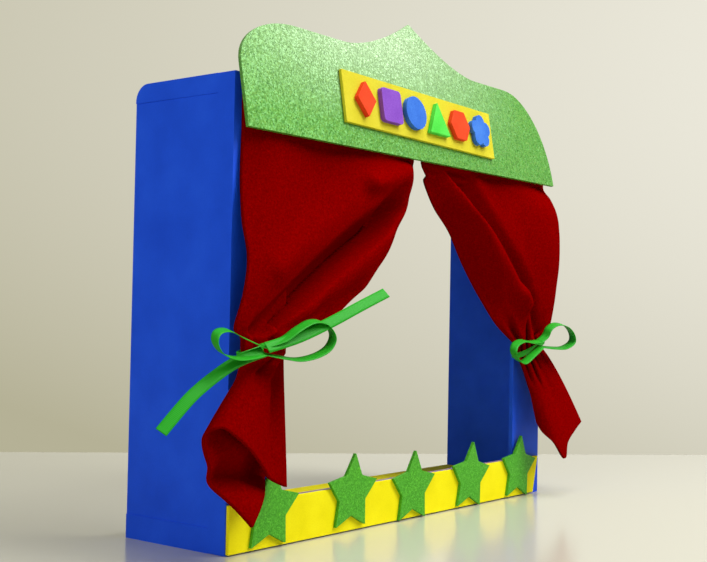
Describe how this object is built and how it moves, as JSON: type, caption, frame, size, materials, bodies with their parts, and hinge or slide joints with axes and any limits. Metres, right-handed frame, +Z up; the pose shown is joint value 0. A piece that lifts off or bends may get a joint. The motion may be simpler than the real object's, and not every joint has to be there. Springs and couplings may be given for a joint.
{
  "type": "toy theatre",
  "caption": "Cardboard toy theatre: open-backed blue box with a stage window, felt curtains tied back with ribbon bows, raised stage and a shaped glitter pediment.",
  "frame": {"origin": "middle of the carton's underside, on the surface that it stands on", "axes": "+X along the front to the viewer's right, +Y from the curtained front to the open back, +Z up"},
  "size_m": [0.4005, 0.1048, 0.2949],
  "materials": {
    "board": "matt",
    "blue_paper": "matt",
    "yellow_foam": "matt",
    "green_foam": "satin",
    "glitter_foam": "satin",
    "red_foam": "matt",
    "purple_foam": "matt",
    "blue_foam": "matt",
    "bright_green_foam": "matt",
    "red_felt": "matt",
    "green_ribbon": "satin"
  },
  "bodies": {
    "root": {"carton": "board", "cover_front": "blue_paper", "cover_left": "blue_paper", "cover_right": "blue_paper", "cover_top": "blue_paper", "cover_bottom": "blue_paper", "lining_front": "blue_paper", "lining_left": "blue_paper", "lining_right": "blue_paper", "lining_top": "blue_paper", "stage_riser": "board", "stage_floor": "yellow_foam", "sill_strip": "yellow_foam", "pediment": "glitter_foam", "sign_board": "yellow_foam", "curtain_left": "red_felt", "curtain_right": "red_felt", "ribbon_left": "green_ribbon", "ribbon_right": "green_ribbon", "star_1": "green_foam", "star_2": "green_foam", "star_3": "green_foam", "star_4": "green_foam", "star_5": "green_foam", "sign_shape_1": "red_foam", "sign_shape_2": "purple_foam", "sign_shape_3": "blue_foam", "sign_shape_4": "bright_green_foam", "sign_shape_5": "red_foam", "sign_shape_6": "blue_foam"}
  },
  "joints": []
}
